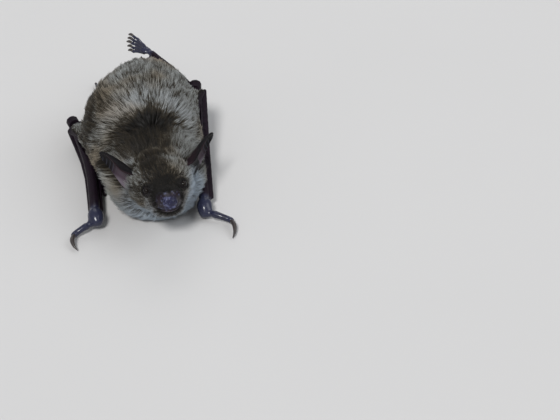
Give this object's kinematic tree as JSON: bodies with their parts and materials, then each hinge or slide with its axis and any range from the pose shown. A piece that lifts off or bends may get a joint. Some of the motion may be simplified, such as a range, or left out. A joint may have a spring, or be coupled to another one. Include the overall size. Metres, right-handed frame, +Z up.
{
  "type": "brown bat",
  "caption": "Life-size still model of a small brown bat crouching on its folded wings, ears laid back and left hind foot raised.",
  "frame": {"origin": "on the floor, in the middle of the bat's footprint box", "axes": "-Y the way the head looks, +X the bat's left side, +Z up"},
  "size_m": [0.0357, 0.0858, 0.0204],
  "materials": {
    "fur_brown": "soft long fur, dark roots and golden buff tips",
    "skin_face": "bare reddish brown skin, slightly moist",
    "skin_wing": "thin wrinkled dark skin, satin",
    "eye_black": "polished black bead",
    "claw": "dark horn, satin"
  },
  "bodies": {
    "root": {"ear_left": "skin_wing", "ear_right": "skin_wing", "eye_left": "eye_black", "eye_right": "eye_black", "finger_3_left": "skin_wing", "finger_3_right": "skin_wing", "finger_4_left": "skin_wing", "finger_4_right": "skin_wing", "finger_5_left": "skin_wing", "finger_5_right": "skin_wing", "foot_left": "skin_wing", "foot_right": "skin_wing", "forearm_left": "skin_wing", "forearm_right": "skin_wing", "head": "fur_brown", "lower_jaw": "skin_face", "muzzle": "skin_face", "neck": "fur_brown", "shank_left": "skin_wing", "shank_right": "skin_wing", "tail": "skin_wing", "tail_membrane": "skin_wing", "thigh_left": "fur_brown", "thigh_right": "fur_brown", "thumb_claw_left": "claw", "thumb_claw_right": "claw", "thumb_left": "skin_wing", "thumb_right": "skin_wing", "tragus_left": "skin_face", "tragus_right": "skin_face", "trunk": "fur_brown", "upper_arm_left": "fur_brown", "upper_arm_right": "fur_brown", "wing_membrane_left": "skin_wing", "wing_membrane_right": "skin_wing", "wrist_left": "skin_wing", "wrist_right": "skin_wing"}
  },
  "joints": []
}
